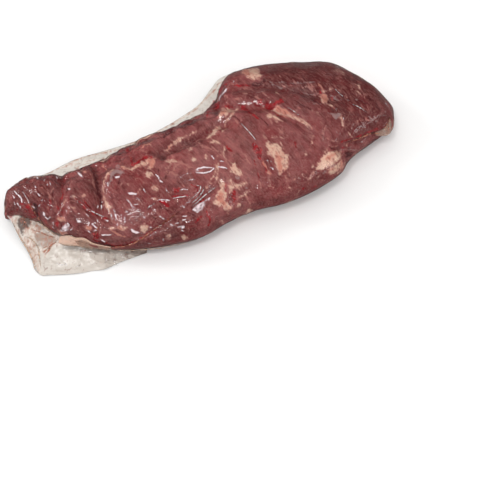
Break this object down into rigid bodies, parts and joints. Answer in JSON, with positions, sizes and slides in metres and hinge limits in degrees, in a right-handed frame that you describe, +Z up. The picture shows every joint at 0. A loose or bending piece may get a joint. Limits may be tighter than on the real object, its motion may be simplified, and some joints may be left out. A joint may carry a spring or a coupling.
{
  "type": "vacuum-packed beef tenderloin",
  "caption": "Whole raw beef tenderloin sealed in a clear vacuum bag: a long rounded muscle with a thick head, a flat underside, a film margin behind and a film tail.",
  "frame": {"origin": "on the ground, at the middle of the pack's box", "axes": "+X along the pack from the folded bag end to the thick head of the muscle, +Y to the back where the film margin is, +Z up"},
  "size_m": [0.478, 0.2147, 0.0614],
  "materials": {
    "beef": "raw mauve-red meat with pale fat, wet",
    "film": "clear clinging vacuum film, glossy, hazy where it is doubled"
  },
  "bodies": {
    "root": {"vacuum_pack": "beef"}
  },
  "joints": []
}
